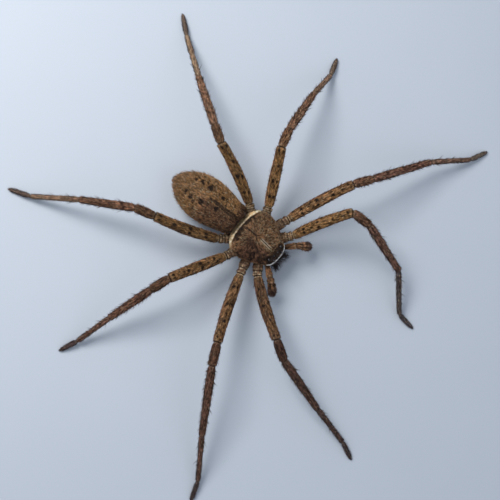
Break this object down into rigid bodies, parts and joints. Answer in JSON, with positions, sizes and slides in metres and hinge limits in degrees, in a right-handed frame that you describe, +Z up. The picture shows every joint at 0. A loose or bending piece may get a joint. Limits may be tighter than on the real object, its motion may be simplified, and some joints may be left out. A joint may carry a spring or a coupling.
{
  "type": "huntsman spider",
  "caption": "Still, life-size huntsman spider with a flat oval body, long legs spread wide and a short pair of palps.",
  "frame": {"origin": "on the floor, under the middle of the leg span", "axes": "+Z up, the head looks along -Y, the spider's own left side is +X"},
  "size_m": [0.0928, 0.0858, 0.0117],
  "materials": {
    "head_shield": "brown, mottled, with fine pale hairs",
    "abdomen": "golden brown velvet of short hairs with dark spots",
    "leg": "brown with fine lengthwise hairs and dark spots",
    "foot": "dark, dense short hairs",
    "underside": "plain brown, satin",
    "jaw": "dark red-brown horn with bristles",
    "fang": "polished black horn",
    "eye": "glossy black"
  },
  "bodies": {
    "root": {"abdomen": "abdomen", "carapace": "head_shield", "chelicera_left": "jaw", "chelicera_right": "jaw", "eye_front_mid_left": "eye", "eye_front_mid_right": "eye", "eye_front_side_left": "eye", "eye_front_side_right": "eye", "eye_rear_mid_left": "eye", "eye_rear_mid_right": "eye", "eye_rear_side_left": "eye", "eye_rear_side_right": "eye", "fang_left": "fang", "fang_right": "fang", "labium": "underside", "leg_left_1_coxa": "leg", "leg_left_1_femur": "leg", "leg_left_1_foot": "foot", "leg_left_1_tibia": "leg", "leg_left_2_coxa": "leg", "leg_left_2_femur": "leg", "leg_left_2_foot": "foot", "leg_left_2_tibia": "leg", "leg_left_3_coxa": "leg", "leg_left_3_femur": "leg", "leg_left_3_foot": "foot", "leg_left_3_tibia": "leg", "leg_left_4_coxa": "leg", "leg_left_4_femur": "leg", "leg_left_4_foot": "foot", "leg_left_4_tibia": "leg", "leg_right_1_coxa": "leg", "leg_right_1_femur": "leg", "leg_right_1_foot": "foot", "leg_right_1_tibia": "leg", "leg_right_2_coxa": "leg", "leg_right_2_femur": "leg", "leg_right_2_foot": "foot", "leg_right_2_tibia": "leg", "leg_right_3_coxa": "leg", "leg_right_3_femur": "leg", "leg_right_3_foot": "foot", "leg_right_3_tibia": "leg", "leg_right_4_coxa": "leg", "leg_right_4_femur": "leg", "leg_right_4_foot": "foot", "leg_right_4_tibia": "leg", "maxilla_left": "underside", "maxilla_right": "underside", "palp_left_femur": "leg", "palp_left_tip": "foot", "palp_right_femur": "leg", "palp_right_tip": "foot", "pedicel": "underside", "spinnerets": "underside", "sternum": "underside"}
  },
  "joints": []
}
